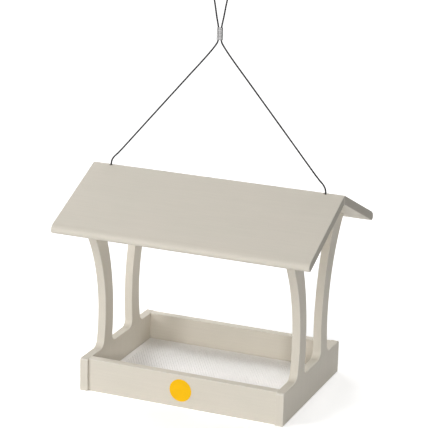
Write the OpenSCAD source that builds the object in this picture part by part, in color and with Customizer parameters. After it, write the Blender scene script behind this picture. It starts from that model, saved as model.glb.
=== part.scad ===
// Fly-through bird feeder: a tray between two arched end frames, under a pitched roof on a wire cable.
// Millimetres, +Z up, +X along the ridge, -Y the front. The origin is under the middle, on the base plane.

/* [Tray] */
// Distance between the outer faces of the two end frames
frame_span = 300; // [260:1:340]
// Depth of the base plank of each end frame, front to back
base_depth = 224; // [200:1:250]
// Height of the rails and of the base planks
wall_h = 47; // [38:0.5:60]
// Thickness of the end frame boards
end_t = 12; // [10:0.5:15]
// Thickness of the front and back rails
rail_t = 12; // [10:0.5:15]
// How far the rails stand back from the front and back edges of the end frames
rail_setback = 3; // [0:0.5:5]
// Rounding of the upper outer corners of the base planks
plank_corner_r = 3; // [1:0.5:6]

/* [Posts] */
// Width of the opening between the posts at its narrowest
waist_gap = 62; // [50:1:72]
// Width across both posts at their narrowest
waist_width = 111; // [100:1:130]
// Height of the narrowest place of the outer edges
outer_waist_z = 98; // [85:1:110]
// Radius of the posts' outer edges
outer_edge_r = 214; // [205:1:250]
// Height of the narrowest place of the opening
inner_waist_z = 94; // [80:1:105]
// Radius of the posts' inner edges
inner_edge_r = 290; // [270:5:360]
// Fillet where a post grows out of the base plank
foot_r = 12; // [6:1:16]
// Rounding of the lower corners of the opening
sill_r = 10; // [5:1:14]
// Rounding of the upper corners of the opening
crown_r = 8; // [4:1:10]
// Width of the board left between the opening and the roof
gable_web = 20; // [16:0.5:26]

/* [Roof] */
// Length of the roof along the ridge
roof_len = 370; // [350:1:410]
// Depth of the roof across both eaves
roof_depth = 264; // [240:1:290]
// Height of the ridge above the base
ridge_h = 296; // [280:1:320]
// Pitch of the roof in degrees
pitch = 24; // [20:0.5:28]
// Thickness of the roof panels
roof_t = 12; // [10:0.5:15]

/* [Seed screen] */
// Height and width of the ledges that carry the screen
ledge_w = 8; // [6:0.5:12]
// Thickness of the screen's sheet
screen_t = 1; // [0.8:0.1:2]
// Gap between the screen and the end frames
screen_gap_x = 1; // [0.5:0.1:3]
// Gap between the screen and the rails
screen_gap_y = 1.5; // [0.5:0.1:3]

/* [Screws] */
// Length of the screws that join the boards, head and all
screw_len = 22; // [18:1:24]
// Length of the screws that hold the ledges
ledge_screw_len = 16; // [12:1:18]
// Diameter of the screws
screw_d = 3.5; // [3:0.1:4]
// Diameter of the countersunk heads
head_d = 6; // [5:0.1:7]
// Height of the countersunk heads
head_h = 2.2; // [1.5:0.1:3]
// Diameter of the plugs over the heads
plug_d = 7; // [6.5:0.1:8]
// Depth of the plugs
plug_h = 3; // [2:0.5:4]
// Height of the lower rail screw above the base
rail_screw_low = 12; // [10:1:16]
// Distance of the upper rail screw below the rail's top
rail_screw_drop = 12; // [10:1:16]
// Distance of the upper roof screw from the ridge, along the slope
roof_screw_high = 32; // [28:1:36]
// Distance of the lower roof screw from the ridge, along the slope
roof_screw_low = 100; // [96:1:104]
// Screws in each of the long ledges
long_ledge_screws = 3; // [2:1:5]
// Screws in each of the short ledges
short_ledge_screws = 2; // [2:1:4]
// Distance of the outer ledge screws from a ledge's ends
ledge_screw_inset = 20; // [15:1:30]

/* [Hanging cable] */
// Diameter of the cable
cable_d = 2.4; // [2:0.1:2.8]
// Diameter of the holes in the ridge
ridge_hole_d = 4.4; // [4:0.1:6]
// Distance of the ridge holes outside the end frames
ridge_hole_out = 8; // [7:0.5:9]
// Distance of the cable's holes through the gables below the ridge
gable_hole_drop = 24; // [23:0.1:25]
// Diameter of the cable's holes through the gables
gable_hole_d = 3.2; // [3:0.1:4]
// Length of the ferrule under the loop
ferrule_len = 17; // [12:0.5:20]
// Height of the ferrule's lower end above the ridge
ferrule_rise = 191; // [190:0.5:193]
// Distance between the ferrule's two barrels
ferrule_pitch = 4.6; // [4.4:0.1:5]
// Wall of the ferrule around the cable
ferrule_wall = 0.75; // [0.5:0.05:1]
// Thickness of the web between the two barrels
ferrule_web = 2.8; // [2:0.1:3.5]
// Length of the stops on the cable's ends
stop_len = 8; // [5:0.5:9]
// Diameter of the stops
stop_d = 5.5; // [4.5:0.1:7]
// Diameter of the washers under the stops
washer_d = 12; // [9:0.5:13]
// Thickness of the washers
washer_t = 1; // [0.8:0.1:1.5]

/* [Label] */
// Diameter of the round label
label_d = 32; // [20:1:38]
// Thickness of the label
label_t = 0.3; // [0.2:0.1:0.5]
// Height of the label's centre
label_z = 24.5; // [20:0.5:27]

/* [Hidden] */

// Clearance of a screw, plug or cable in its hole, all round
fit_gap = 0.05;
// How far a cutter runs past the face that it opens
past = 1;
// How far a round runs over the line that it meets, so that the two always cross
kiss = 0.02;
// Facets of small and of large rounds
fine = 48;
broad = 360;

TAUPE = [0.80, 0.77, 0.71];
STEEL = [0.62, 0.63, 0.64];
SHEET = [0.85, 0.85, 0.85];
YELLOW = [0.99, 0.77, 0.04];

// Inner faces of the end frames and of the rails
inner_x = frame_span / 2 - end_t;
rail_out_y = base_depth / 2 - rail_setback;
rail_in_y = rail_out_y - rail_t;
rail_mid_y = rail_out_y - rail_t / 2;
end_mid_x = frame_span / 2 - end_t / 2;

// Roof: its underside at the ridge, the directions across and down its slope, and the centre of the round eave
slope = tan(pitch);
across = [sin(pitch), cos(pitch)];
down = [cos(pitch), -sin(pitch)];
under_ridge = ridge_h - roof_t / cos(pitch);
nose_r = roof_t / 2 + kiss;
nose_y = roof_depth / 2 - nose_r;
nose_z = ridge_h - roof_t / 2 / cos(pitch) - nose_y * slope;

// Opening of the end frame: its highest line at the ridge
crown_z = under_ridge - gable_web / cos(pitch);
outer_disc = [waist_width / 2 + outer_edge_r, outer_waist_z];
inner_disc = [waist_gap / 2 + inner_edge_r, inner_waist_z];

// Unit direction from a to b
function toward(a, b) = (b - a) / norm(b - a);
// Distance along x from a disc's centre to its edge at a given height
function reach(disc, r, z) = sqrt(r * r - pow(z - disc[1], 2));
// Centre of a round that meets a level line at z and a disc: sign 1 outside the disc, -1 inside it
function round_on_level(disc, r, z, fr, sign) =
    [disc[0] - reach(disc, r + sign * (fr - kiss), z + fr - kiss), z + fr - kiss];
// Centre of the round at the opening's peak, and of the one between its sloped top and a post
peak_centre = [0, crown_z - (crown_r - kiss) / cos(pitch)];
crown_b = (peak_centre - inner_disc) * down;
crown_c = pow(norm(peak_centre - inner_disc), 2) - pow(inner_edge_r + crown_r - kiss, 2);
crown_centre = peak_centre + down * (-crown_b - sqrt(crown_b * crown_b - crown_c));

// Right half of the cable's route, from its end inside the gable to the top of the loop:
// distance from the middle, and height above the ridge
CABLE_HALF = [[127, -24], [139, -24], [149, -24], [153.5, -22.8], [156.8, -19.5], [158, -15],
              [158, -7], [158, 1], [157, 5.5], [154, 10.5], [149, 15.5], [143, 22],
              [92, 81.5], [40, 142], [24, 160.5], [12, 175], [6, 183], [3.2, 187.5],
              [2.3, 190.5], [2.3, 208.5], [3.1, 213], [5, 222], [8, 239], [11.5, 256], [13.5, 268],
              [12.5, 278], [7.5, 285], [0, 288]];
// The route is drawn for this span of the end frames. With another span the foot of each leg moves with its
// end frame, and the loop and the ferrule stay in the middle
route_span = 300;
foot_shift = (frame_span - route_span) / 2;
foot_x = CABLE_HALF[0][0];
loop_x = 15;
function follow(x) = x + foot_shift * max(0, min(1, (x - loop_x) / (foot_x - loop_x)));
half_count = len(CABLE_HALF);
CABLE_ROUTE = [for (i = [0 : 2 * half_count - 2])
    let (right = i < half_count, p = CABLE_HALF[right ? i : 2 * half_count - 2 - i])
    [(right ? 1 : -1) * follow(p[0]), 0, ridge_h + p[1]]];
CABLE_SIDES = 8;

// Places a board outline, drawn as y and z, from x0 for a given width
module along_x(x0, width) {
    translate([x0, 0, 0]) rotate([90, 0, 90]) linear_extrude(width) children();
}

module both_sides() {
    children();
    mirror([1, 0]) children();
}

// What lies between a round and the two lines that it meets in the directions a and b
module corner_piece(centre, r, a, b) {
    side = r + past;
    difference() {
        polygon([centre, centre + side * a, centre + 1.5 * side * (a + b), centre + side * b]);
        translate(centre) circle(r, $fn = fine);
    }
}

// Base plank of an end frame, with its two upper corners rounded
module plank_outline() {
    side_y = base_depth / 2;
    inset = plank_corner_r - kiss;
    difference() {
        translate([-side_y, 0]) square([2 * side_y, wall_h]);
        both_sides() corner_piece([side_y - inset, wall_h - inset], plank_corner_r, [1, 0], [0, 1]);
    }
}

// Board that rounds the corner between a post's outer edge and the plank
module foot_fillet() {
    centre = round_on_level(outer_disc, outer_edge_r, wall_h, foot_r, -1);
    corner_piece(centre, foot_r, toward(outer_disc, centre), [0, -1]);
}

// Board left in the lower corner of the opening
module sill_corner() {
    centre = round_on_level(inner_disc, inner_edge_r, wall_h, sill_r, 1);
    corner_piece(centre, sill_r, toward(centre, inner_disc), [0, -1]);
}

// Board left in the upper corner of the opening
module crown_corner() {
    corner_piece(crown_centre, crown_r, toward(crown_centre, inner_disc), across);
}

// Board left in the peak of the opening
module crown_peak() {
    corner_piece(peak_centre, crown_r, across, [-across[0], across[1]]);
}

// Opening between the posts
module opening_outline() {
    side_y = inner_disc[0];
    difference() {
        polygon([[-side_y, wall_h], [side_y, wall_h], [side_y, crown_z - side_y * slope],
                 [0, crown_z], [-side_y, crown_z - side_y * slope]]);
        both_sides() {
            translate(inner_disc) circle(inner_edge_r, $fn = broad);
            sill_corner();
            crown_corner();
        }
        crown_peak();
    }
}

// One end frame: base plank, two curved posts and gable, cut from one board
module end_outline() {
    side_y = base_depth / 2;
    difference() {
        union() {
            plank_outline();
            both_sides() foot_fillet();
            difference() {
                polygon([[-side_y, wall_h / 2], [side_y, wall_h / 2], [side_y, under_ridge - side_y * slope],
                         [0, under_ridge], [-side_y, under_ridge - side_y * slope]]);
                both_sides() translate(outer_disc) circle(outer_edge_r, $fn = broad);
            }
        }
        opening_outline();
    }
}

// Countersunk screw along -Z, its head's top at z = 0, grown by a gap where it is a cutter
module screw(length, gap = 0) {
    point_h = screw_d;
    translate([0, 0, -head_h]) cylinder(h = head_h + gap, d1 = screw_d + 2 * gap, d2 = head_d + 2 * gap, $fn = fine);
    translate([0, 0, -length + point_h])
        cylinder(h = length - point_h - head_h + gap, d = screw_d + 2 * gap, $fn = fine);
    translate([0, 0, -length - gap])
        cylinder(h = point_h + 2 * gap, d1 = screw_d / 4 + 2 * gap, d2 = screw_d + 2 * gap, $fn = fine);
}

// Plug along -Z, its outer face at z = 0
module plug(gap = 0) {
    translate([0, 0, -plug_h]) cylinder(h = plug_h + (gap > 0 ? past : 0), d = plug_d + 2 * gap, $fn = fine);
}

// Hole for a plug with its screw under it
module plugged_hole() {
    plug(fit_gap);
    translate([0, 0, -plug_h]) screw(screw_len, fit_gap);
}

// Places of the rail screws on the outer faces of the end frames
module at_rail_screws() {
    for (end = [-1, 1], side = [-1, 1], z = [rail_screw_low, wall_h - rail_screw_drop])
        translate([end * frame_span / 2, side * rail_mid_y, z]) rotate([0, end * 90, 0]) children();
}

// Places of the roof screws on the top of one panel: side -1 is the front, 1 the back
module at_roof_screws(side) {
    for (end = [-1, 1], along = [roof_screw_high, roof_screw_low])
        translate([end * end_mid_x, side * along * cos(pitch), ridge_h - along * sin(pitch)])
            rotate([-side * pitch, 0, 0]) children();
}

// Places of the screws on the inner faces of the long and of the short ledges
function spread(count, half, i) = -half + 2 * half * i / (count - 1);
module at_long_ledge_screws(side) {
    for (i = [0 : long_ledge_screws - 1])
        translate([spread(long_ledge_screws, inner_x - ledge_screw_inset, i), side * (rail_in_y - ledge_w), ledge_w / 2])
            rotate([side * 90, 0, 0]) children();
}
module at_short_ledge_screws(end) {
    for (i = [0 : short_ledge_screws - 1])
        translate([end * (inner_x - ledge_w),
                   spread(short_ledge_screws, rail_in_y - ledge_w - ledge_screw_inset, i), ledge_w / 2])
            rotate([0, -end * 90, 0]) children();
}

// Holes for the hanging cable through the ridge and through the gables
module cable_holes() {
    for (end = [-1, 1]) {
        translate([end * (frame_span / 2 + ridge_hole_out), 0, under_ridge - roof_t])
            cylinder(h = 3 * roof_t, d = ridge_hole_d, $fn = fine);
        translate([end * end_mid_x, 0, ridge_h - gable_hole_drop]) rotate([0, 90, 0])
            cylinder(h = end_t + 2 * past, d = gable_hole_d, center = true, $fn = fine);
    }
}

// End frame: end -1 is the left one, 1 the right one
module end_frame(end) {
    difference() {
        along_x(end > 0 ? inner_x : -frame_span / 2, end_t) end_outline();
        at_rail_screws() plugged_hole();
        for (side = [-1, 1]) at_roof_screws(side) plugged_hole();
        at_short_ledge_screws(end) screw(ledge_screw_len, fit_gap);
        cable_holes();
    }
}

// Rail between the end frames: side -1 is the front one, 1 the back one
module rail(side) {
    difference() {
        translate([-inner_x, side > 0 ? rail_in_y : -rail_out_y, 0]) cube([2 * inner_x, rail_t, wall_h]);
        at_rail_screws() plugged_hole();
        at_long_ledge_screws(side) screw(ledge_screw_len, fit_gap);
    }
}

// Section of the back roof panel: mitred at the ridge, round at the eave
module panel_outline() {
    centre = [nose_y, nose_z];
    half = across * roof_t / 2;
    tip = centre + down * (nose_r + past);
    clear = 2 * roof_t;
    difference() {
        polygon([[0, ridge_h], tip + half, tip - half, [0, under_ridge]]);
        difference() {
            polygon([centre + across * clear, centre + (across + down) * clear,
                     centre + (down - across) * clear, centre - across * clear]);
            translate(centre) circle(nose_r, $fn = fine);
        }
    }
}

module roof_panel(side) {
    difference() {
        along_x(-roof_len / 2, roof_len) mirror([side < 0 ? 1 : 0, 0]) panel_outline();
        at_roof_screws(side) plugged_hole();
        cable_holes();
    }
}

module long_ledge(side) {
    difference() {
        translate([-inner_x, side > 0 ? rail_in_y - ledge_w : -rail_in_y, 0]) cube([2 * inner_x, ledge_w, ledge_w]);
        at_long_ledge_screws(side) screw(ledge_screw_len, fit_gap);
    }
}

module short_ledge(end) {
    half_y = rail_in_y - ledge_w;
    difference() {
        translate([end > 0 ? inner_x - ledge_w : -inner_x, -half_y, 0]) cube([ledge_w, 2 * half_y, ledge_w]);
        at_short_ledge_screws(end) screw(ledge_screw_len, fit_gap);
    }
}

// Direction of the cable at route point i
function heading(p, i) =
    i == 0 ? toward(p[0], p[1])
    : i == len(p) - 1 ? toward(p[i - 1], p[i])
    : toward([0, 0, 0], toward(p[i - 1], p[i]) / norm(p[i] - p[i - 1]) + toward(p[i], p[i + 1]) / norm(p[i + 1] - p[i]));
// Ring of the tube round c, square to direction d, in a plane that holds the y axis
function ring(c, d, r) = [for (k = [0 : CABLE_SIDES - 1])
    c + r * (cos(360 * k / CABLE_SIDES) * [0, 1, 0] + sin(360 * k / CABLE_SIDES) * cross(d, [0, 1, 0]))];

// One unbroken tube along the route
module tube(centres, r) {
    rings = [for (i = [0 : len(centres) - 1]) ring(centres[i], heading(centres, i), r)];
    last = len(centres) - 1;
    points = [for (one = rings) for (p = one) p];
    sides = [for (i = [0 : last - 1], k = [0 : CABLE_SIDES - 1])
        let (a = i * CABLE_SIDES + k, b = i * CABLE_SIDES + (k + 1) % CABLE_SIDES)
        [a, b, b + CABLE_SIDES, a + CABLE_SIDES]];
    first_cap = [for (k = [CABLE_SIDES - 1 : -1 : 0]) k];
    last_cap = [for (k = [0 : CABLE_SIDES - 1]) last * CABLE_SIDES + k];
    polyhedron(points, concat(sides, [first_cap, last_cap]));
}

module left_end_frame() {
    color(TAUPE) end_frame(-1);
}

module right_end_frame() {
    color(TAUPE) end_frame(1);
}

module front_rail() {
    color(TAUPE) rail(-1);
}

module back_rail() {
    color(TAUPE) rail(1);
}

module front_roof_panel() {
    color(TAUPE) roof_panel(-1);
}

module back_roof_panel() {
    color(TAUPE) roof_panel(1);
}

module seed_screen() {
    half_x = inner_x - screen_gap_x;
    half_y = rail_in_y - screen_gap_y;
    color(SHEET) translate([-half_x, -half_y, ledge_w]) cube([2 * half_x, 2 * half_y, screen_t]);
}

module front_ledge() {
    color(TAUPE) long_ledge(-1);
}

module back_ledge() {
    color(TAUPE) long_ledge(1);
}

module left_ledge() {
    color(TAUPE) short_ledge(-1);
}

module right_ledge() {
    color(TAUPE) short_ledge(1);
}

module rail_screws() {
    color(STEEL) at_rail_screws() translate([0, 0, -plug_h]) screw(screw_len);
}

module rail_screw_plugs() {
    color(TAUPE) at_rail_screws() plug();
}

module roof_screws() {
    color(STEEL) for (side = [-1, 1]) at_roof_screws(side) translate([0, 0, -plug_h]) screw(screw_len);
}

module roof_screw_plugs() {
    color(TAUPE) for (side = [-1, 1]) at_roof_screws(side) plug();
}

module ledge_screws() {
    color(STEEL) {
        for (side = [-1, 1]) at_long_ledge_screws(side) screw(ledge_screw_len);
        for (end = [-1, 1]) at_short_ledge_screws(end) screw(ledge_screw_len);
    }
}

module hanging_cable() {
    color(STEEL) tube(CABLE_ROUTE, cable_d / 2);
}

// Double-barrel ferrule that grips the cable twice
module cable_ferrule() {
    barrel_d = cable_d + 2 * (fit_gap + ferrule_wall);
    color(STEEL) translate([0, 0, ridge_h + ferrule_rise]) difference() {
        union() {
            for (side = [-1, 1]) translate([side * ferrule_pitch / 2, 0, 0])
                cylinder(h = ferrule_len, d = barrel_d, $fn = fine);
            translate([-ferrule_pitch / 2, -ferrule_web / 2, 0]) cube([ferrule_pitch, ferrule_web, ferrule_len]);
        }
        for (side = [-1, 1]) translate([side * ferrule_pitch / 2, 0, -past])
            cylinder(h = ferrule_len + 2 * past, d = cable_d + 2 * fit_gap, $fn = fine);
    }
}

// Ring round the cable at its gable hole, starting a given distance inside the gable's inner face
module cable_ring(end, inset, length, d) {
    translate([end * (inner_x - inset), 0, ridge_h - gable_hole_drop]) rotate([0, -end * 90, 0]) difference() {
        cylinder(h = length, d = d, $fn = fine);
        translate([0, 0, -past]) cylinder(h = length + 2 * past, d = cable_d + 2 * fit_gap, $fn = fine);
    }
}

module left_cable_stop() {
    color(STEEL) cable_ring(-1, washer_t, stop_len, stop_d);
}

module right_cable_stop() {
    color(STEEL) cable_ring(1, washer_t, stop_len, stop_d);
}

module stop_washers() {
    color(STEEL) for (end = [-1, 1]) cable_ring(end, 0, washer_t, washer_d);
}

module label_disc() {
    color(YELLOW) translate([0, -rail_out_y, label_z]) rotate([90, 0, 0])
        cylinder(h = label_t, d = label_d, $fn = fine * 2);
}

left_end_frame();
right_end_frame();
front_rail();
back_rail();
front_roof_panel();
back_roof_panel();
seed_screen();
front_ledge();
back_ledge();
left_ledge();
right_ledge();
rail_screws();
rail_screw_plugs();
roof_screws();
roof_screw_plugs();
ledge_screws();
hanging_cable();
cable_ferrule();
left_cable_stop();
right_cable_stop();
stop_washers();
label_disc();
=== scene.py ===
# Fly-through bird feeder: the finish of every surface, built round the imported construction.
# Metres, +Z up, +X along the ridge, -Y the front, as in the frame.
import math

import bmesh
import bpy
from mathutils import Matrix, Vector
from mathutils.geometry import interpolate_bezier


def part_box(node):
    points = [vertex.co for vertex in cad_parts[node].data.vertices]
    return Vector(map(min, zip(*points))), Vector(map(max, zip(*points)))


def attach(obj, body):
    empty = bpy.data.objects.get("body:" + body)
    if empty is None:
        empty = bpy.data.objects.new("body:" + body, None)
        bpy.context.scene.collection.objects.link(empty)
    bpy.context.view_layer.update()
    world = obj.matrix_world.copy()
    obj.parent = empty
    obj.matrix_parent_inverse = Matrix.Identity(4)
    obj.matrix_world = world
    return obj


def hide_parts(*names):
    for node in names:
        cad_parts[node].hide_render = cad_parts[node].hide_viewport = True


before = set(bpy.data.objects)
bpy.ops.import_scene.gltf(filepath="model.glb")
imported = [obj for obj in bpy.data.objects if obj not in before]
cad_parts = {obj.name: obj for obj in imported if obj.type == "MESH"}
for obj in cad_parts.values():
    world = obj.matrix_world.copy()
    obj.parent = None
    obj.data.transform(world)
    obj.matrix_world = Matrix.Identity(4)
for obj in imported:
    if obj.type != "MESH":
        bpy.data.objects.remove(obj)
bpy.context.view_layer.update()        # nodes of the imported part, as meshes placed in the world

scene = bpy.context.scene
MM = 0.001

# Camera, as fitted to the photograph: its place, the way that it looks and its lens
CAMERA_PLACE = Vector((0.93443, -2.30167, 0.99600))
CAMERA_AZIMUTH = math.radians(22.135)
CAMERA_ELEVATION = math.radians(16.832)
CAMERA_ROLL = math.radians(1.465)
CAMERA_LENS = 159.3
SENSOR = 36.0

# Lamps: how far they stand from the point over the origin that they aim at
LAMP_DISTANCE = 2.6
LAMP_AIM_Z = 0.15

# Floor: half its width, and how brightly the camera sees it far from the object
FLOOR_HALF = 12.0
FAR_FLOOR_GLOW = 1.2

# Places that the frame gives
END_LO, END_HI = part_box("right_end_frame")
RAIL_LO, RAIL_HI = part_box("front_rail")
ROOF_LO, ROOF_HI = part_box("front_roof_panel")
SHEET_LO, SHEET_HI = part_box("seed_screen")
LEDGE_LO, LEDGE_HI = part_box("back_ledge")
LABEL_LO, LABEL_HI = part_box("label_disc")
FERRULE_LO, FERRULE_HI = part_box("cable_ferrule")
STOP_LO, STOP_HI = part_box("right_cable_stop")
WASHER_LO, WASHER_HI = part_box("stop_washers")
span_x, inner_x, base_y = END_HI.x, END_LO.x, END_HI.y
wall_z, ridge_z, roof_x, roof_y = RAIL_HI.z, ROOF_HI.z, ROOF_HI.x, -ROOF_LO.y
rail_out_y, rail_in_y = -RAIL_LO.y, -RAIL_HI.y
end_t = span_x - inner_x
ledge_w = LEDGE_HI.z - LEDGE_LO.z

# Sizes of the boards' outlines, as in the construction
PITCH = math.radians(24)
ROOF_T = 12 * MM
WAIST_GAP, INNER_WAIST_Z, INNER_EDGE_R = 62 * MM, 94 * MM, 290 * MM
WAIST_WIDTH, OUTER_WAIST_Z, OUTER_EDGE_R = 111 * MM, 98 * MM, 214 * MM
FOOT_R, SILL_R, CROWN_R, PLANK_R = 12 * MM, 10 * MM, 8 * MM, 3 * MM
GABLE_WEB = 20 * MM

# Holes and fasteners, as in the construction
SCREW_LEN, LEDGE_SCREW_LEN, SCREW_D, HEAD_D, HEAD_H = 22 * MM, 16 * MM, 3.5 * MM, 6 * MM, 2.2 * MM
PLUG_D, PLUG_H, FIT = 7 * MM, 3 * MM, 0.05 * MM
THREAD_PITCH, THREAD_CORE, SCREW_SIDES, RINGS_A_TURN = 1.4 * MM, 0.68, 16, 5
RECESS_D, RECESS_H = 3.2 * MM, 1.6 * MM
RAIL_SCREW_INSET = 12 * MM
ROOF_SCREWS = (32 * MM, 100 * MM)
LEDGE_SCREW_INSET = 20 * MM
LONG_LEDGE_SCREWS, SHORT_LEDGE_SCREWS = 3, 2
RIDGE_HOLE_D, RIDGE_HOLE_OUT = 4.4 * MM, 8 * MM
RIDGE_MOUTH_D, RIDGE_MOUTH_H = 7 * MM, 3 * MM
GABLE_HOLE_D, GABLE_HOLE_DROP = 3.2 * MM, 24 * MM

# Edges as a router leaves them: on the board's faces, and the crisper ones of butted ends
EASE = 0.9 * MM
BUTT_EASE = 0.6 * MM
LONG_EDGE_R = 1.3 * MM

# Angles between the facets of a rounded edge, in degrees, and the distance at which points are joined
EASED_BENDS = (20, 40)
WELD = 0.001 * MM

# Eave: how far its upper rounding runs along the slope and across it, and the rounding under it
EAVE_RUN, EAVE_DROP, EAVE_FOOT_R = 11 * MM, 7 * MM, 5 * MM

# Right half of the cable's route: distance from the middle and height above the ridge, in millimetres
CABLE_D = 2.4 * MM
CABLE_HALF = [(127, -24), (139, -24), (149, -24), (153.5, -22.8), (156.8, -19.5), (158, -15),
              (158, -7), (158, 1), (157, 5.5), (154, 10.5), (149, 15.5), (143, 22),
              (92, 81.5), (40, 142), (24, 160.5), (12, 175), (6, 183), (3.2, 187.5),
              (2.3, 190.5), (2.3, 208.5), (3.1, 213), (5, 222), (8, 239), (11.5, 256), (13.5, 268),
              (12.5, 278), (7.5, 285), (0, 288)]
STRANDS = 6
STRAND_FACETS = 4
CABLE_LAY = 15 * MM
CABLE_STEP = 1.25 * MM

# Perforations of the screen, staggered at 60 degrees, with a plain margin
HOLE_D, HOLE_PITCH, SHEET_MARGIN, SHEET_CORNER_R = 1.8 * MM, 4.0 * MM, 6 * MM, 2 * MM
HOLE_FACETS = 12


# Camera, floor, light

def set_up_camera():
    a, e = CAMERA_AZIMUTH, CAMERA_ELEVATION
    back = Vector((math.sin(a) * math.cos(e), -math.cos(a) * math.cos(e), math.sin(e)))
    level = Vector((math.cos(a), math.sin(a), 0))
    rise = back.cross(level)
    right = math.cos(CAMERA_ROLL) * level + math.sin(CAMERA_ROLL) * rise
    up = back.cross(right)
    data = bpy.data.cameras.new("camera")
    data.sensor_width = SENSOR
    data.lens = CAMERA_LENS
    camera = bpy.data.objects.new("camera", data)
    turned_to = Matrix((right, up, back)).transposed().to_4x4()
    camera.matrix_world = Matrix.Translation(CAMERA_PLACE) @ turned_to
    scene.collection.objects.link(camera)
    scene.camera = camera


def seen_directly(tree):
    """1 for rays from the camera, in a reflection or through glass, 0 for light that falls on things."""
    path = tree.nodes.new("ShaderNodeLightPath")
    total = path.outputs["Is Camera Ray"]
    for name in ("Is Glossy Ray", "Is Transmission Ray"):
        both = tree.nodes.new("ShaderNodeMath")
        both.operation = "MAXIMUM"
        tree.links.new(total, both.inputs[0])
        tree.links.new(path.outputs[name], both.inputs[1])
        total = both.outputs[0]
    return total


def set_up_world(sky_colour, sky_strength):
    world = bpy.data.worlds.new("studio")
    scene.world = world
    world.use_nodes = True
    tree = world.node_tree
    tree.nodes.clear()
    sky = tree.nodes.new("ShaderNodeBackground")
    sky.inputs["Color"].default_value = (*sky_colour, 1)
    sky.inputs["Strength"].default_value = sky_strength
    white = tree.nodes.new("ShaderNodeBackground")
    white.inputs["Color"].default_value = (1, 1, 1, 1)
    white.inputs["Strength"].default_value = 1
    mix = tree.nodes.new("ShaderNodeMixShader")
    out = tree.nodes.new("ShaderNodeOutputWorld")
    tree.links.new(seen_directly(tree), mix.inputs[0])
    tree.links.new(sky.outputs[0], mix.inputs[1])
    tree.links.new(white.outputs[0], mix.inputs[2])
    tree.links.new(mix.outputs[0], out.inputs["Surface"])


def floor_material(albedo, glow, bright_r, fade_r):
    """Pale floor: a bright patch round the object, white to the camera, with its shadows kept."""
    material = bpy.data.materials.new("floor")
    material.use_nodes = True
    tree = material.node_tree
    tree.nodes.clear()
    away = tree.nodes.new("ShaderNodeVectorMath")
    away.operation = "LENGTH"
    tree.links.new(stretched(tree, (1, 1, 0)), away.inputs[0])
    near = remap(tree, away.outputs["Value"], 1, 0, start=bright_r, end=fade_r)
    cloth = tree.nodes.new("ShaderNodeBsdfDiffuse")
    tree.links.new(combine(tree, "MULTIPLY", near, albedo), cloth.inputs["Color"])
    far_glow = combine(tree, "MULTIPLY", combine(tree, "SUBTRACT", 1.0, near), FAR_FLOOR_GLOW - glow)
    strength = combine(tree, "MULTIPLY", combine(tree, "ADD", far_glow, glow), seen_directly(tree))
    light = tree.nodes.new("ShaderNodeEmission")
    light.inputs["Color"].default_value = (1, 1, 1, 1)
    tree.links.new(strength, light.inputs["Strength"])
    total = tree.nodes.new("ShaderNodeAddShader")
    tree.links.new(cloth.outputs[0], total.inputs[0])
    tree.links.new(light.outputs[0], total.inputs[1])
    out = tree.nodes.new("ShaderNodeOutputMaterial")
    tree.links.new(total.outputs[0], out.inputs["Surface"])
    return material


def set_up_floor():
    corners = [(x * FLOOR_HALF, y * FLOOR_HALF, 0) for x, y in ((-1, -1), (1, -1), (1, 1), (-1, 1))]
    mesh = bpy.data.meshes.new("floor")
    mesh.from_pydata(corners, [], [(0, 1, 2, 3)])
    mesh.materials.append(floor_material(albedo=0.95, glow=0.40, bright_r=0.6, fade_r=1.5))
    floor = bpy.data.objects.new("floor", mesh)
    scene.collection.objects.link(floor)


def soft_box(name, azimuth, elevation, size, power):
    """Square lamp, seen from the object at an azimuth right of the front and an elevation, in degrees."""
    a, e = math.radians(azimuth), math.radians(elevation)
    toward = Vector((math.sin(a) * math.cos(e), -math.cos(a) * math.cos(e), math.sin(e)))
    data = bpy.data.lights.new(name, "AREA")
    data.size = size
    data.energy = power
    lamp = bpy.data.objects.new(name, data)
    lamp.location = Vector((0, 0, LAMP_AIM_Z)) + toward * LAMP_DISTANCE
    lamp.rotation_euler = toward.to_track_quat("Z", "Y").to_euler()
    scene.collection.objects.link(lamp)


# Materials

def new_material(name):
    material = bpy.data.materials.new(name)
    material.use_nodes = True
    return material, material.node_tree, material.node_tree.nodes["Principled BSDF"]


def stretched(tree, scale):
    """The piece's own coordinates, stretched by a scale for each axis."""
    coordinates = tree.nodes.new("ShaderNodeTexCoord")
    mapping = tree.nodes.new("ShaderNodeMapping")
    mapping.inputs["Scale"].default_value = scale
    tree.links.new(coordinates.outputs["Object"], mapping.inputs["Vector"])
    return mapping.outputs["Vector"]


def noise(tree, place, scale, detail=3.0, roughness=0.5):
    texture = tree.nodes.new("ShaderNodeTexNoise")
    texture.inputs["Scale"].default_value = scale
    texture.inputs["Detail"].default_value = detail
    texture.inputs["Roughness"].default_value = roughness
    tree.links.new(place, texture.inputs["Vector"])
    return texture.outputs["Fac"]


def remap(tree, value, low, high, start=0.3, end=0.7):
    """A texture's middle range spread over other values."""
    node = tree.nodes.new("ShaderNodeMapRange")
    for name, number in (("From Min", start), ("From Max", end), ("To Min", low), ("To Max", high)):
        node.inputs[name].default_value = number
    tree.links.new(value, node.inputs["Value"])
    return node.outputs["Result"]


def combine(tree, operation, a, b):
    node = tree.nodes.new("ShaderNodeMath")
    node.operation = operation
    for socket, value in zip(node.inputs, (a, b)):
        if isinstance(value, (int, float)):
            socket.default_value = value
        else:
            tree.links.new(value, socket)
    return node.outputs[0]


def blend_colours(tree, factor, a, b):
    """Two colours, each a tuple or a socket, mixed by a factor."""
    node = tree.nodes.new("ShaderNodeMix")
    node.data_type = "RGBA"
    tree.links.new(factor, node.inputs[0])
    for socket, value in ((node.inputs[6], a), (node.inputs[7], b)):
        if isinstance(value, tuple):
            socket.default_value = (*value, 1)
        else:
            tree.links.new(value, socket)
    return node.outputs[2]


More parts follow.
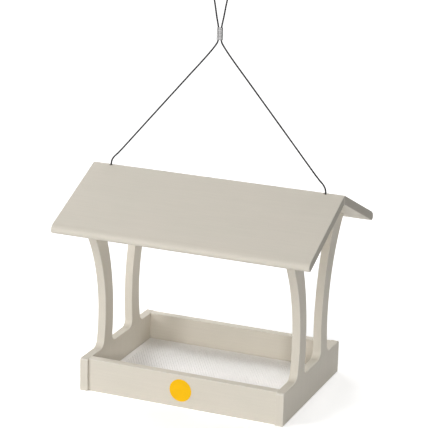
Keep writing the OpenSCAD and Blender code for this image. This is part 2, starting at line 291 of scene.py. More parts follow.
def darken(tree, colour, factor):
    node = tree.nodes.new("ShaderNodeVectorMath")
    node.operation = "SCALE"
    tree.links.new(colour, node.inputs[0])
    tree.links.new(factor, node.inputs["Scale"])
    return node.outputs[0]


def edge_mask(tree, radius):
    """1 on the rounded edges of a piece, 0 on its flats."""
    bevel = tree.nodes.new("ShaderNodeBevel")
    bevel.samples = 6
    bevel.inputs["Radius"].default_value = radius
    geometry = tree.nodes.new("ShaderNodeNewGeometry")
    dot = tree.nodes.new("ShaderNodeVectorMath")
    dot.operation = "DOT_PRODUCT"
    tree.links.new(bevel.outputs["Normal"], dot.inputs[0])
    tree.links.new(geometry.outputs["True Normal"], dot.inputs[1])
    return remap(tree, dot.outputs["Value"], 1.0, 0.0, start=0.85, end=0.995)


def relief(tree, shader, heights):
    """Bumps laid over each other, from (height, strength, distance) in metres."""
    normal = None
    for height, strength, distance in heights:
        bump = tree.nodes.new("ShaderNodeBump")
        bump.inputs["Strength"].default_value = strength
        bump.inputs["Distance"].default_value = distance
        tree.links.new(height, bump.inputs["Height"])
        if normal is not None:
            tree.links.new(normal, bump.inputs["Normal"])
        normal = bump.outputs["Normal"]
    tree.links.new(normal, shader.inputs["Normal"])


def facing_along(tree, axis, start, end):
    """1 on faces that look along an axis, 0 on faces that look away from it."""
    coordinates = tree.nodes.new("ShaderNodeTexCoord")
    split = tree.nodes.new("ShaderNodeSeparateXYZ")
    tree.links.new(coordinates.outputs["Normal"], split.inputs[0])
    return remap(tree, combine(tree, "ABSOLUTE", split.outputs[axis], 0), 0, 1, start=start, end=end)


def board_plastic(name, grain, sawn_end_painted_shade):
    """Matte plastic lumber, drawn out along its grain, rougher where it is sawn across, with painted shade
    darkening the sawn end faces.
    """
    material, tree, shader = new_material(name)
    along = [1.0, 1.0, 1.0]
    along[grain] = 0.04
    even = stretched(tree, (1, 1, 1))
    drawn = stretched(tree, tuple(along))
    blotches = remap(tree, noise(tree, even, 14, detail=2), 0, 1)
    colour = blend_colours(tree, blotches, (0.706, 0.653, 0.566), (0.688, 0.645, 0.556))
    streaks = remap(tree, noise(tree, drawn, 420, detail=4, roughness=0.6), 0.98, 1.015)
    speckle = remap(tree, noise(tree, even, 1500, detail=2), 0.975, 1.015)
    colour = darken(tree, colour, combine(tree, "MULTIPLY", streaks, speckle))
    # painted shade: faces sawn across the grain are darkened by sawn_end_painted_shade; their extra
    # roughness is the cut's own
    sawn = facing_along(tree, grain, 0.9, 0.98)
    colour = darken(tree, colour, remap(tree, sawn, 1, sawn_end_painted_shade, start=0, end=1))
    edges = tree.nodes.new("ShaderNodeAttribute")
    edges.attribute_name = "eased"
    scuffs = remap(tree, noise(tree, even, 260, detail=4, roughness=0.65), 0.1, 0.9, 0.4, 0.6)
    wear = combine(tree, "MULTIPLY", edges.outputs["Fac"], scuffs)
    colour = blend_colours(tree, combine(tree, "MULTIPLY", wear, 0.5), colour, (0.78, 0.755, 0.70))
    tree.links.new(colour, shader.inputs["Base Color"])
    matte = remap(tree, noise(tree, drawn, 90, detail=3), 0.5, 0.62)
    worn_rougher = combine(tree, "MULTIPLY", wear, 0.1)
    sawn_rougher = combine(tree, "MULTIPLY", sawn, 0.15)
    rougher = combine(tree, "ADD", worn_rougher, sawn_rougher)
    tree.links.new(combine(tree, "ADD", matte, rougher), shader.inputs["Roughness"])
    shader.inputs["IOR"].default_value = 1.48
    relief(tree, shader, [(noise(tree, drawn, 420, detail=4, roughness=0.6), 0.25, 0.06 * MM),
                          (noise(tree, even, 900, detail=3), 0.35, 0.05 * MM)])
    return material


def bare_metal(name, colour, dull, roughness, grain_scale=500, metallic=1.0, depth=0.02 * MM, painted_side_shade=1):
    """Metal with clouded tarnish, fine marks, brighter edges and painted shade that darkens its faces along
    x.
    """
    material, tree, shader = new_material(name)
    even = stretched(tree, (1, 1, 1))
    clouds = remap(tree, noise(tree, even, 60, detail=4, roughness=0.6), 0, 1)
    tone = blend_colours(tree, clouds, colour, dull)
    edges = combine(tree, "MULTIPLY", edge_mask(tree, 0.4 * MM), 0.5)
    tone = blend_colours(tree, edges, tone, tuple(min(1.0, c * 1.2) for c in colour))
    # painted shade: faces that look along x are darkened by the factor painted_side_shade
    sides = remap(tree, facing_along(tree, 0, 0.1, 0.6), 1, painted_side_shade, start=0, end=1)
    tree.links.new(darken(tree, tone, sides), shader.inputs["Base Color"])
    marks = noise(tree, even, grain_scale, detail=4, roughness=0.6)
    tree.links.new(remap(tree, marks, roughness - 0.06, roughness + 0.1), shader.inputs["Roughness"])
    shader.inputs["Metallic"].default_value = metallic
    relief(tree, shader, [(marks, 0.4, depth)])
    return material


def screen_metal():
    """Mill-finish sheet: soft sheen, rolling marks along its length and a faint speckle."""
    material, tree, shader = new_material("screen_sheet")
    even = stretched(tree, (1, 1, 1))
    rolled = stretched(tree, (0.05, 1, 1))
    clouds = remap(tree, noise(tree, even, 35, detail=3), 0, 1)
    tone = blend_colours(tree, clouds, (0.93, 0.915, 0.91), (0.9, 0.885, 0.88))
    speckle = remap(tree, noise(tree, even, 420, detail=3, roughness=0.7), 0.95, 1.03)
    tree.links.new(darken(tree, tone, speckle), shader.inputs["Base Color"])
    marks = noise(tree, rolled, 700, detail=3)
    tree.links.new(remap(tree, marks, 0.46, 0.6), shader.inputs["Roughness"])
    shader.inputs["Metallic"].default_value = 0.05
    relief(tree, shader, [(noise(tree, even, 12, detail=1), 0.3, 0.6 * MM), (marks, 0.3, 0.02 * MM)])
    return material


def label_vinyl():
    """Yellow vinyl with a faint orange peel and painted shade darkening its rim."""
    material, tree, shader = new_material("label_yellow")
    even = stretched(tree, (1, 1, 1))
    clouds = remap(tree, noise(tree, even, 90, detail=3), 0, 1)
    tone = blend_colours(tree, clouds, (0.99, 0.555, 0.004), (0.955, 0.53, 0.006))
    # painted shade: the label's rim is darkened towards a deeper orange
    rim = combine(tree, "MULTIPLY", edge_mask(tree, 0.3 * MM), 0.6)
    tone = blend_colours(tree, rim, tone, (0.80, 0.42, 0.01))
    tree.links.new(tone, shader.inputs["Base Color"])
    peel = noise(tree, even, 1100, detail=2)
    tree.links.new(remap(tree, peel, 0.34, 0.44), shader.inputs["Roughness"])
    shader.inputs["Specular IOR Level"].default_value = 0.12
    relief(tree, shader, [(peel, 0.2, 0.02 * MM)])
    return material


# Meshes

def spread(start, end, count):
    return [start + (end - start) * i / (count - 1) for i in range(count)]


def turn(angle):
    return Vector((math.cos(angle), math.sin(angle)))


def arc(centre, radius, start, end, steps):
    """Points round a centre from one angle to another."""
    return [centre + radius * turn(a) for a in spread(start, end, steps + 1)]


def angle_of(direction):
    return math.atan2(direction.y, direction.x)


def rounded(corners, radii, steps=4):
    """A closed outline of straight edges with each of its corners rounded."""
    points = []
    for i, (corner, radius) in enumerate(zip(corners, radii)):
        if radius == 0:
            points.append(corner)
            continue
        one = (corners[i - 1] - corner).normalized()
        two = (corners[(i + 1) % len(corners)] - corner).normalized()
        half = one.angle(two) / 2
        centre = corner + (one + two).normalized() * radius / math.sin(half)
        start = angle_of(corner + one * radius / math.tan(half) - centre)
        end = angle_of(corner + two * radius / math.tan(half) - centre)
        end += 2 * math.pi * round((start - end) / (2 * math.pi))
        points += arc(centre, radius, start, end, steps)
    return points


def mirrored(half):
    """A half outline that ends on the line of symmetry, with its mirror image after it."""
    return half + [Vector((-p.x, p.y)) for p in reversed(half[:-1])]


def bake(piece):
    """Applies the modifiers of a piece to its mesh."""
    graph = bpy.context.evaluated_depsgraph_get()
    mesh = bpy.data.meshes.new_from_object(piece.evaluated_get(graph))
    old = piece.data
    piece.modifiers.clear()
    piece.data = mesh
    bpy.data.meshes.remove(old)


def mesh_object(name, bm):
    mesh = bpy.data.meshes.new(name)
    bm.to_mesh(mesh)
    bm.free()
    piece = bpy.data.objects.new(name, mesh)
    scene.collection.objects.link(piece)
    return piece


def board(name, loops, x0, x1, ease):
    """A board cut along outlines in y and z, from x0 to x1, its edges eased on both faces."""
    curve = bpy.data.curves.new(name, "CURVE")
    curve.dimensions = "2D"
    curve.fill_mode = "BOTH"
    for loop in loops:
        spline = curve.splines.new("POLY")
        spline.points.add(len(loop) - 1)
        for point, place in zip(spline.points, loop):
            point.co = (place.x, place.y, 0, 1)
        spline.use_cyclic_u = True
    curve.extrude = (x1 - x0) / 2 - ease
    curve.bevel_depth = ease
    curve.bevel_resolution = 2
    curve.offset = -ease
    shape = bpy.data.objects.new(name, curve)
    scene.collection.objects.link(shape)
    graph = bpy.context.evaluated_depsgraph_get()
    mesh = bpy.data.meshes.new_from_object(shape.evaluated_get(graph))
    bpy.data.objects.remove(shape)
    bpy.data.curves.remove(curve)
    upright = Matrix(((0, 0, 1, (x0 + x1) / 2), (1, 0, 0, 0), (0, 1, 0, 0), (0, 0, 0, 1)))
    bm = bmesh.new()
    bm.from_mesh(mesh)
    bpy.data.meshes.remove(mesh)
    bmesh.ops.transform(bm, matrix=upright, verts=bm.verts)
    bmesh.ops.remove_doubles(bm, verts=bm.verts, dist=WELD)
    bmesh.ops.recalc_face_normals(bm, faces=bm.faces)
    return mesh_object(name, bm)


def add_turned(bm, profile, place, steps=32):
    """Adds a turned solid: a profile of radius and height, from pole to pole or as a closed ring."""
    angles = spread(0, 2 * math.pi, steps + 1)[:-1]
    rings = []
    for radius, height in profile:
        if radius == 0:
            rings.append([bm.verts.new(place @ Vector((0, 0, height)))])
        else:
            rings.append([bm.verts.new(place @ Vector((*(radius * turn(a)), height))) for a in angles])
    closed = profile[0][0] > 0
    for low, high in zip(rings, rings[1:] + rings[:1] if closed else rings[1:]):
        for k in range(steps):
            corners = []
            for ring, i in ((low, k), (low, k + 1), (high, k + 1), (high, k)):
                vert = ring[i % len(ring)]
                if vert not in corners:
                    corners.append(vert)
            if len(corners) > 2:
                bm.faces.new(corners)


def skin(bm, rings):
    """Joins rings of equal length into a closed tube."""
    for low, high in zip(rings, rings[1:]):
        for k in range(len(low)):
            n = (k + 1) % len(low)
            bm.faces.new((low[k], low[n], high[n], high[k]))
    bm.faces.new(rings[0])
    bm.faces.new(rings[-1])
    bmesh.ops.recalc_face_normals(bm, faces=bm.faces)


def turned(name, profile, places, steps=32):
    """One object that holds a turned solid at each of the places."""
    bm = bmesh.new()
    for place in places:
        add_turned(bm, profile, place, steps)
    bmesh.ops.recalc_face_normals(bm, faces=bm.faces)
    return mesh_object(name, bm)


def cut(piece, cutter):
    """Cuts one object out of another and deletes the cutter."""
    modifier = piece.modifiers.new("cut", "BOOLEAN")
    modifier.operation = "DIFFERENCE"
    modifier.solver = "EXACT"
    modifier.object = cutter
    bake(piece)
    bpy.data.objects.remove(cutter)
    bm = bmesh.new()
    bm.from_mesh(piece.data)
    bmesh.ops.remove_doubles(bm, verts=bm.verts, dist=WELD)
    bm.to_mesh(piece.data)
    bm.free()


def mark_eased_edges(mesh):
    """A face attribute that is 1 on rounded edges, where neighbours bend by part of a right angle."""
    least, most = EASED_BENDS
    bm = bmesh.new()
    bm.from_mesh(mesh)
    eased = []
    for face in bm.faces:
        bends = [math.degrees(edge.calc_face_angle(0)) for edge in face.edges]
        eased.append(1.0 if any(least < bend < most for bend in bends) else 0.0)
    bm.free()
    layer = mesh.attributes.new("eased", "FLOAT", "FACE")
    layer.data.foreach_set("value", eased)


def finish_piece(piece, material, body, replaced, sharp=35):
    """Shading, material and the piece's place in the frame."""
    mesh = piece.data
    mesh.materials.clear()
    mesh.materials.append(material)
    mesh.polygons.foreach_set("use_smooth", [True] * len(mesh.polygons))
    mesh.set_sharp_from_angle(angle=math.radians(sharp))
    mark_eased_edges(mesh)
    normals = piece.modifiers.new("normals", "WEIGHTED_NORMAL")
    normals.keep_sharp = True
    normals.weight = 100
    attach(piece, body)
    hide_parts(*replaced)


# Places of the screws and plugs, each a matrix whose z axis points out of the board

def facing(point, direction):
    return Matrix.Translation(point) @ direction.to_track_quat("Z", "Y").to_matrix().to_4x4()


def rail_screw_places():
    rail_mid_y = (rail_out_y + rail_in_y) / 2
    return [facing(Vector((end * span_x, side * rail_mid_y, z)), Vector((end, 0, 0)))
            for end in (-1, 1) for side in (-1, 1) for z in (RAIL_SCREW_INSET, wall_z - RAIL_SCREW_INSET)]


def roof_screw_places(sides=(-1, 1)):
    across = Vector((0, math.sin(PITCH), math.cos(PITCH)))
    return [facing(Vector((end * (span_x - end_t / 2), side * along * math.cos(PITCH),
                           ridge_z - along * math.sin(PITCH))), Vector((0, side * across.y, across.z)))
            for side in sides for end in (-1, 1) for along in ROOF_SCREWS]


def long_ledge_places(side):
    reach = inner_x - LEDGE_SCREW_INSET
    return [facing(Vector((x, side * (rail_in_y - ledge_w), ledge_w / 2)), Vector((0, -side, 0)))
            for x in spread(-reach, reach, LONG_LEDGE_SCREWS)]


def short_ledge_places(end):
    reach = rail_in_y - ledge_w - LEDGE_SCREW_INSET
    return [facing(Vector((end * (inner_x - ledge_w), y, ledge_w / 2)), Vector((-end, 0, 0)))
            for y in spread(-reach, reach, SHORT_LEDGE_SCREWS)]


def screw_profile(length, gap=0.0):
    """Countersunk screw from the middle of its head down to its point."""
    head, shank, point = HEAD_D / 2 + gap, SCREW_D / 2 + gap, SCREW_D / 8 + gap
    return [(0, gap), (head, gap), (shank, -HEAD_H), (shank, -length + SCREW_D), (point, -length - gap),
            (0, -length - gap)]


def plugged_hole_profile():
    """Hole for a plug with its screw under it, opened past the board's face."""
    wide = PLUG_D / 2 + FIT
    under = [(r, z - PLUG_H) for r, z in screw_profile(SCREW_LEN, FIT)[1:]]
    return [(0, PLUG_H), (wide, PLUG_H), (wide, -PLUG_H)] + under


def open_hole_profile(diameter, depth):
    return [(0, depth), (diameter / 2, depth), (diameter / 2, -depth), (0, -depth)]


def ridge_hole_profile():
    """Hole through the ridge with a wider mouth, from above the ridge to under the roof."""
    wide, narrow = RIDGE_MOUTH_D / 2, RIDGE_HOLE_D / 2
    return [(0, ROOF_T), (wide, ROOF_T), (wide, -0.5 * RIDGE_MOUTH_H), (narrow, -RIDGE_MOUTH_H),
            (narrow, -2 * ROOF_T), (0, -2 * ROOF_T)]


def drill(piece, profile, places):
    cut(piece, turned("drill", profile, places, steps=36))


# Boards

def end_outlines():
    """Outer outline and opening of an end frame, in y and z."""
    slope = math.tan(PITCH)
    across = Vector((math.sin(PITCH), math.cos(PITCH)))
    under_ridge = ridge_z - ROOF_T / math.cos(PITCH)
    crown_z = under_ridge - GABLE_WEB / math.cos(PITCH)

    disc = Vector((WAIST_WIDTH / 2 + OUTER_EDGE_R, OUTER_WAIST_Z))
    foot_z = wall_z + FOOT_R
    foot = Vector((disc.x - math.sqrt((OUTER_EDGE_R - FOOT_R) ** 2 - (foot_z - disc.y) ** 2), foot_z))
    foot_angle = angle_of(foot - disc) % (2 * math.pi)
    lift = (under_ridge - disc.y - disc.x * slope) * math.cos(PITCH) / OUTER_EDGE_R
    eave_angle = math.pi - PITCH - math.asin(lift)
    corners = [Vector((base_y, 0)), Vector((base_y, wall_z)), Vector((foot.x, wall_z))]
    outer = rounded(corners, [0, PLANK_R, 0])[:-1]
    outer += arc(foot, FOOT_R, -math.pi / 2, foot_angle - 2 * math.pi, 10)
    outer += arc(disc, OUTER_EDGE_R, foot_angle, eave_angle, 44)[1:]
    outer.append(Vector((0, under_ridge)))

    disc = Vector((WAIST_GAP / 2 + INNER_EDGE_R, INNER_WAIST_Z))
    sill_z = wall_z + SILL_R
    sill = Vector((disc.x - math.sqrt((INNER_EDGE_R + SILL_R) ** 2 - (sill_z - disc.y) ** 2), sill_z))
    peak = Vector((0, crown_z - CROWN_R / math.cos(PITCH)))
    down = Vector((math.cos(PITCH), -math.sin(PITCH)))
    b = (peak - disc).dot(down)
    c = (peak - disc).length_squared - (INNER_EDGE_R + CROWN_R) ** 2
    crown = peak + down * (-b - math.sqrt(b * b - c))
    opening = arc(sill, SILL_R, -math.pi / 2, angle_of(disc - sill), 8)
    start, end = angle_of(sill - disc) % (2 * math.pi), angle_of(crown - disc) % (2 * math.pi)
    opening += arc(disc, INNER_EDGE_R, start, end, 40)[1:]
    opening += arc(crown, CROWN_R, angle_of(disc - crown), angle_of(across), 8)[1:]
    opening += arc(peak, CROWN_R, angle_of(across), math.pi / 2, 4)
    return mirrored(outer), mirrored(opening)


def build_end_frame(end):
    name = "right_end_frame" if end > 0 else "left_end_frame"
    x0, x1 = sorted((end * inner_x, end * span_x))
    piece = board(name + "_board", end_outlines(), x0, x1, EASE)
    gable_hole = Vector((end * (span_x - end_t / 2), 0, ridge_z - GABLE_HOLE_DROP))
    drill(piece, open_hole_profile(GABLE_HOLE_D, end_t), [facing(gable_hole, Vector((1, 0, 0)))])
    drill(piece, plugged_hole_profile(), [m for m in rail_screw_places() + roof_screw_places()
                                          if m.translation.x * end > 0])
    drill(piece, screw_profile(LEDGE_SCREW_LEN, FIT), short_ledge_places(end))
    finish_piece(piece, plastic_z, "feeder", [name])


def rectangle(y0, y1, z0, z1, radius, foot_radius=0):
    """An upright section with rounded upper corners, and rounded lower ones if a radius is given."""
    corners = [Vector((y0, z0)), Vector((y1, z0)), Vector((y1, z1)), Vector((y0, z1))]
    return rounded(corners, [foot_radius, foot_radius, radius, radius])


def build_rail(side):
    name = "back_rail" if side > 0 else "front_rail"
    y0, y1 = sorted((side * rail_in_y, side * rail_out_y))
    section = rectangle(y0, y1, 0, wall_z, LONG_EDGE_R)
    piece = board(name + "_board", [section], -inner_x, inner_x, BUTT_EASE)
    drill(piece, plugged_hole_profile(), [m for m in rail_screw_places() if m.translation.y * side > 0])
    drill(piece, screw_profile(LEDGE_SCREW_LEN, FIT), long_ledge_places(side))
    finish_piece(piece, plastic_x, "feeder", [name])


def build_long_ledge(side):
    name = "back_ledge" if side > 0 else "front_ledge"
    y0, y1 = sorted((side * (rail_in_y - ledge_w), side * rail_in_y))
    section = rectangle(y0, y1, 0, ledge_w, EASE, EASE)
    piece = board(name + "_strip", [section], -inner_x, inner_x, BUTT_EASE)
    drill(piece, screw_profile(LEDGE_SCREW_LEN, FIT), long_ledge_places(side))
    finish_piece(piece, plastic_x, "feeder", [name])


def build_short_ledge(end):
    name = "right_ledge" if end > 0 else "left_ledge"
    half_y = rail_in_y - ledge_w
    x0, x1 = sorted((end * (inner_x - ledge_w), end * inner_x))
    section = rectangle(-half_y, half_y, 0, ledge_w, EASE, EASE)
    piece = board(name + "_strip", [section], x0, x1, EASE / 2)
    drill(piece, screw_profile(LEDGE_SCREW_LEN, FIT), short_ledge_places(end))
    finish_piece(piece, plastic_y, "feeder", [name])


def eave_edge(nose, nose_r, across):
    """The eave's edge from the upper face round to the lower one: long above, tighter below."""
    down = Vector((across.y, -across.x))
    tip = nose + down * (nose_r + 0.5 * MM) + across * (nose_r - EAVE_DROP)
    upper, lower = tip - down * EAVE_RUN, tip - down * EAVE_FOOT_R
    foot_drop = ROOF_T - EAVE_DROP
    quarter = math.pi / 2
    edge = [upper + down * EAVE_RUN * math.cos(t) + across * EAVE_DROP * math.sin(t)
            for t in spread(quarter, 0, 13)]
    edge += [lower + down * EAVE_FOOT_R * math.cos(t) - across * foot_drop * math.sin(t)
             for t in spread(0, quarter, 9)[1:]]
    return edge


def build_roof_panel(side):
    """Sloped panel: mitred at the ridge, rounded at the eave."""
    name = "back_roof_panel" if side > 0 else "front_roof_panel"
    across = Vector((math.sin(PITCH), math.cos(PITCH)))
    nose_r = ROOF_T / 2
    nose_y = roof_y - nose_r
    nose = Vector((nose_y, ridge_z - nose_r / math.cos(PITCH) - nose_y * math.tan(PITCH)))
    eave = eave_edge(nose, nose_r, across)
    ridge = [Vector((0, ridge_z - ROOF_T / math.cos(PITCH))), Vector((0, ridge_z)), eave[0]]
    outline = rounded(ridge, [0, LONG_EDGE_R, 0])[:-1] + eave
    outline = [Vector((side * p.x, p.y)) for p in outline]
    piece = board(name + "_board", [outline], -roof_x, roof_x, EASE)
    ridge_holes = [Vector((end * (span_x + RIDGE_HOLE_OUT), 0, ridge_z)) for end in (-1, 1)]
    drill(piece, ridge_hole_profile(), [facing(hole, Vector((0, 0, 1))) for hole in ridge_holes])
    drill(piece, plugged_hole_profile(), roof_screw_places([side]))
    finish_piece(piece, plastic_x, "feeder", [name])


# Seed screen

def staggered_centres():
    row_step = HOLE_PITCH * math.sqrt(3) / 2
    half_x = SHEET_HI.x - SHEET_MARGIN
    half_y = SHEET_HI.y - SHEET_MARGIN
    rows = int(half_y / row_step)
    centres = []
    for row in range(-rows, rows + 1):
        offset = HOLE_PITCH / 2 if row % 2 else 0.0
        columns = int((half_x - offset) / HOLE_PITCH)
        for column in range(-columns, columns + (0 if row % 2 else 1)):
            centres.append(Vector((column * HOLE_PITCH + offset, row * row_step)))
    return centres


def build_seed_screen():
    """Sheet with real perforations: one six-sided cell of metal round each hole."""
    bm = bmesh.new()
    corners = {}

    def corner(place):
        key = (round(place.x / (0.01 * MM)), round(place.y / (0.01 * MM)))
        if key not in corners:
            corners[key] = bm.verts.new((place.x, place.y, SHEET_LO.z))
        return corners[key]

    cell_r = HOLE_PITCH / math.sqrt(3)
    for centre in staggered_centres():
        rim = [bm.verts.new((*(centre + HOLE_D / 2 * turn(2 * math.pi * k / HOLE_FACETS)), SHEET_LO.z))
               for k in range(HOLE_FACETS)]
        cell = [corner(centre + cell_r * turn(math.radians(30 + 60 * k))) for k in range(6)]
        for k in range(6):
            step = HOLE_FACETS // 6
            inner = [rim[(k * step + 1 + j) % HOLE_FACETS] for j in range(step + 1)]
            bm.faces.new([cell[k], cell[(k + 1) % 6]] + list(reversed(inner)))
    margin = [e for e in bm.edges if e.is_boundary and all(v in corners.values() for v in e.verts)]
    outline = [Vector((x * SHEET_HI.x, y * SHEET_HI.y)) for x, y in ((-1, -1), (1, -1), (1, 1), (-1, 1))]
    edge = [bm.verts.new((p.x, p.y, SHEET_LO.z)) for p in rounded(outline, [SHEET_CORNER_R] * 4)]
    margin += [bm.edges.new((a, b)) for a, b in zip(edge, edge[1:] + edge[:1])]
    bmesh.ops.triangle_fill(bm, edges=margin, use_beauty=True)
    faces = bmesh.ops.extrude_face_region(bm, geom=list(bm.faces))["geom"]
    raised = [v for v in faces if isinstance(v, bmesh.types.BMVert)]
    bmesh.ops.translate(bm, vec=(0, 0, SHEET_HI.z - SHEET_LO.z), verts=raised)
    bmesh.ops.recalc_face_normals(bm, faces=bm.faces)
    piece = mesh_object("perforated_screen", bm)
    finish_piece(piece, sheet_metal, "screen", ["seed_screen"])


# Hanging cable and what is crimped on it

def cable_points():
    """The whole route from the left stop to the right stop, through the loop."""
    right = [Vector((x * MM, 0, ridge_z + z * MM)) for x, z in CABLE_HALF]
    left = [Vector((-p.x, 0, p.z)) for p in right]
    return left + list(reversed(right[:-1]))


def smooth_route(points, step):
    """Points about one step apart on a smooth curve through the route's own points."""
    ways = [(b - a) for a, b in zip(points, points[1:])]
    handles = [ways[0] / 3]
    for before, after in zip(ways, ways[1:]):
        way = (before / before.length_squared + after / after.length_squared).normalized()
        handles.append(way * min(before.length, after.length) / 3)
    handles.append(ways[-1] / 3)
    line = [points[0]]
    for i, way in enumerate(ways):
        count = max(2, math.ceil(way.length / step) + 1)
        line += interpolate_bezier(points[i], points[i] + handles[i], points[i + 1] - handles[i + 1],
                                   points[i + 1], count)[1:]
    return line


def strand_radius(offset):
    """Distance from the cable's middle to the outside of a strand, at an angle from the strand's middle."""
    strand_r = CABLE_D / 6
    ring_r = CABLE_D / 3
    inside = max(0.0, strand_r ** 2 - (ring_r * math.sin(offset)) ** 2)
    return ring_r * math.cos(offset) + math.sqrt(inside)


def build_cable():
    """Six strands laid round a core, as one closed tube."""
    line = smooth_route(cable_points(), CABLE_STEP)
    facets = STRANDS * STRAND_FACETS
    bm = bmesh.new()
    rings, run = [], 0.0
    for i, place in enumerate(line):
        before, after = line[max(i - 1, 0)], line[min(i + 1, len(line) - 1)]
        if i:
            run += (place - before).length
        side = Vector((0, 1, 0))
        normal = (after - before).normalized().cross(side)
        ring = []
        for k in range(facets):
            angle = 2 * math.pi * k / facets
            offset = (k % STRAND_FACETS) / STRAND_FACETS * 2 * math.pi / STRANDS - math.pi / STRANDS
            around = turn(angle + 2 * math.pi * run / CABLE_LAY)
            outward = around.x * side + around.y * normal
            ring.append(bm.verts.new(place + strand_radius(offset) * outward))
        rings.append(ring)
    skin(bm, rings)
    piece = mesh_object("wire_cable", bm)
    finish_piece(piece, cable_steel, "feeder", ["hanging_cable"], sharp=70)
    return piece, line


def crimped(name, outline, length, count, pinch, bands, place, bores):
    """A sleeve pressed at parts of its length: an outline lofted along z, drawn in where it is pinched."""
    band_width = 1.1 * MM
    lip = 0.25 * MM
    bm = bmesh.new()
    rings = []
    for z in spread(0, length, count):
        depth = max(math.exp(-((z - length * band) / band_width) ** 2) for band in bands)
        shrink = 1 - pinch * depth
        edge = min(z, length - z)
        inset = lip * (1 - min(1.0, edge / lip)) if edge < lip else 0.0
        ring = []
        for p in outline:
            out = p.normalized() * inset
            ring.append(bm.verts.new(place @ Vector((p.x - out.x, (p.y - out.y) * shrink, z))))
        rings.append(ring)
    skin(bm, rings)
    piece = mesh_object(name, bm)
    holes = [place @ Matrix.Translation(bore) for bore in bores]
    drill(piece, open_hole_profile(CABLE_D + 2 * FIT, 2 * length), holes)
    return piece


def build_ferrule():
    """Double-barrel ferrule pressed three times."""
    length = FERRULE_HI.z - FERRULE_LO.z
    barrel_r = FERRULE_HI.y
    pitch_x = FERRULE_HI.x - barrel_r
    web_angle = math.pi - math.asin(0.7)
    outline = arc(Vector((pitch_x, 0)), barrel_r, -web_angle, web_angle, 20)
    outline += arc(Vector((-pitch_x, 0)), barrel_r, math.pi - web_angle, math.pi + web_angle, 20)
    place = Matrix.Translation((0, 0, FERRULE_LO.z))
    bores = [Vector((side * pitch_x, 0, 0)) for side in (-1, 1)]
    piece = crimped("crimped_ferrule", outline, length, 52, 0.1, (0.2, 0.5, 0.8), place, bores)
    finish_piece(piece, crimp_metal, "feeder", ["cable_ferrule"])
    return piece


def build_stop(end):
    """Sleeve on the cable's end, pressed twice, with its length along x."""
    name = "right_cable_stop" if end > 0 else "left_cable_stop"
    length = STOP_HI.x - STOP_LO.x
    radius = (STOP_HI.z - STOP_LO.z) / 2
    place = facing(Vector((end * STOP_HI.x, 0, (STOP_LO.z + STOP_HI.z) / 2)), Vector((-end, 0, 0)))
    outline = arc(Vector((0, 0)), radius, 0, 2 * math.pi, 28)[:-1]
    piece = crimped(name + "_sleeve", outline, length, 30, 0.22, (0.3, 0.7), place, [Vector((0, 0, 0))])
    finish_piece(piece, crimp_metal, "feeder", [name])
    return piece


def build_washers():
    radius = WASHER_HI.y
    thickness = inner_x - STOP_HI.x
    bore = CABLE_D / 2 + FIT
    soft = 0.2 * MM
    profile = [(bore, soft), (bore + soft, 0), (radius - soft, 0), (radius, soft),
               (radius, thickness - soft), (radius - soft, thickness), (bore + soft, thickness),
               (bore, thickness - soft)]
    height = (WASHER_LO.z + WASHER_HI.z) / 2
    places = [facing(Vector((end * inner_x, 0, height)), Vector((-end, 0, 0))) for end in (-1, 1)]
    piece = turned("cable_washers", profile, places, steps=40)
    finish_piece(piece, fastener_steel, "feeder", ["stop_washers"])
    return piece


# Small pieces

def build_plugs():
    """Plugs over the screws, planed flush with the boards."""
    profile = [(0, -PLUG_H), (PLUG_D / 2, -PLUG_H), (PLUG_D / 2, 0), (0, 0)]
    for node, places, material in (("rail_screw_plugs", rail_screw_places(), plastic_z),
                                   ("roof_screw_plugs", roof_screw_places(), plastic_x)):
        piece = turned(node + "_set", profile, places, steps=32)
        finish_piece(piece, material, "feeder", [node])


def build_label():
    """Bare round label with a soft rim."""
    radius = (LABEL_HI.x - LABEL_LO.x) / 2
    thickness = LABEL_HI.y - LABEL_LO.y
    soft = thickness / 2
    profile = [(0, 0), (radius, 0), (radius, soft), (radius - 0.3 * soft, 1.7 * soft),
               (radius - soft, thickness), (0, thickness)]
    place = facing(Vector((0, LABEL_HI.y, (LABEL_LO.z + LABEL_HI.z) / 2)), Vector((0, -1, 0)))
    piece = turned("round_label", profile, [place], steps=72)
    finish_piece(piece, label_yellow, "feeder", ["label_disc"])


def screw_mesh(length):
    """Countersunk wood screw with a rolled thread and a cross recess, head up, its head's top at z = 0."""
    crest = SCREW_D / 2
    core = THREAD_CORE * crest
    neck_z = -HEAD_H - 1.2 * MM
    count = math.ceil((length + neck_z) / (THREAD_PITCH / RINGS_A_TURN))
    around = [turn(2 * math.pi * k / SCREW_SIDES) for k in range(SCREW_SIDES)]
    bm = bmesh.new()
    rings = []
    for z in spread(-length, neck_z, count):
        taper = min(1.0, (z + length) / SCREW_D)
        fade = min(1.0, (neck_z - z) / THREAD_PITCH)
        ring = []
        for k in range(SCREW_SIDES):
            phase = (z / THREAD_PITCH - k / SCREW_SIDES) % 1
            ridge = max(0.0, 1 - abs(phase - 0.5) / 0.3)
            radius = core * (0.2 + 0.8 * taper) + (crest - core) * ridge * taper * fade
            ring.append(bm.verts.new((*(radius * around[k]), z)))
        rings.append(ring)
    for radius, z in ((core, -HEAD_H - 0.3 * MM), (1.1 * core, -HEAD_H), (HEAD_D / 2, -0.2 * MM),
                      (HEAD_D / 2, -0.1 * MM), (HEAD_D / 2 - 0.1 * MM, 0)):
        rings.append([bm.verts.new((*(radius * way), z)) for way in around])
    skin(bm, rings)
    screw = mesh_object("screw", bm)

    reach, half = RECESS_D / 2, RECESS_D / 9
    quarter = [Vector((reach, -half)), Vector((reach, half)), Vector((half, half))]
    cross = [Matrix.Rotation(math.pi / 2 * q, 2) @ p for q in range(4) for p in quarter]
    bm = bmesh.new()
    skin(bm, [[bm.verts.new((*(p * scale), z)) for p in cross]
              for scale, z in ((0.35, -RECESS_H), (1, 0), (1.2, 0.5 * RECESS_H))])
    cut(screw, mesh_object("recess", bm))
    mesh = screw.data
    bpy.data.objects.remove(screw)
    return mesh


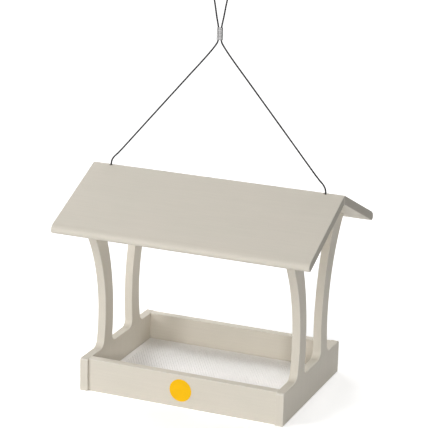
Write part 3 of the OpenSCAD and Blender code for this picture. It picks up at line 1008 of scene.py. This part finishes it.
def build_screws(node, places, length):
    one = screw_mesh(length)
    bm = bmesh.new()
    for place in places:
        first = len(bm.verts)
        bm.from_mesh(one)
        bm.verts.ensure_lookup_table()
        bmesh.ops.transform(bm, matrix=place, verts=bm.verts[first:])
    piece = mesh_object(node + "_threaded", bm)
    finish_piece(piece, fastener_steel, "feeder", [node])


def build_all_screws():
    under_plug = Matrix.Translation((0, 0, -PLUG_H))
    ledges = [place for side in (-1, 1) for place in long_ledge_places(side) + short_ledge_places(side)]
    build_screws("rail_screws", [place @ under_plug for place in rail_screw_places()], SCREW_LEN)
    build_screws("roof_screws", [place @ under_plug for place in roof_screw_places()], SCREW_LEN)
    build_screws("ledge_screws", ledges, LEDGE_SCREW_LEN)


set_up_camera()
set_up_world(sky_colour=(1, 1, 1), sky_strength=0.04)
set_up_floor()
soft_box("key", azimuth=24, elevation=14, size=0.4, power=20.3)
soft_box("low_fill", azimuth=-35, elevation=5, size=1.2, power=11.5)
soft_box("side_fill", azimuth=-45, elevation=30, size=1.0, power=27.5)
soft_box("overhead", azimuth=0, elevation=58, size=1.2, power=6.5)
soft_box("back_right", azimuth=168, elevation=38, size=1.6, power=31)
soft_box("back_left", azimuth=-135, elevation=28, size=1.2, power=23)

# sawn_end_painted_shade: painted shade on the boards' end faces, strongest on the roof panels' ends
plastic_x = board_plastic("plastic_board_along_x", 0, sawn_end_painted_shade=0.72)
plastic_y = board_plastic("plastic_board_along_y", 1, sawn_end_painted_shade=0.84)
plastic_z = board_plastic("plastic_board_along_z", 2, sawn_end_painted_shade=0.93)
sheet_metal = screen_metal()
fastener_steel = bare_metal("fastener_steel", (0.62, 0.62, 0.63), (0.5, 0.5, 0.5), 0.3)
cable_steel = bare_metal("cable_steel", (0.055, 0.055, 0.057), (0.03, 0.03, 0.03), 0.5,
                         grain_scale=1500, metallic=0.8)
# crimp metal: painted shade darkens the sides of the ferrule's barrels, the faces along x
crimp_metal = bare_metal("crimp_metal", (0.53, 0.52, 0.52), (0.46, 0.455, 0.455), 0.5, metallic=0.3,
                         depth=0.005 * MM, painted_side_shade=0.4)
label_yellow = label_vinyl()

cable, cable_line = build_cable()
on_cable = [build_ferrule(), build_stop(-1), build_stop(1), build_washers()]
for sign in (-1, 1):
    build_end_frame(sign)
    build_rail(sign)
    build_roof_panel(sign)
    build_long_ledge(sign)
    build_short_ledge(sign)
build_seed_screen()
build_plugs()
build_label()
build_all_screws()

scene.view_settings.view_transform = "Standard"
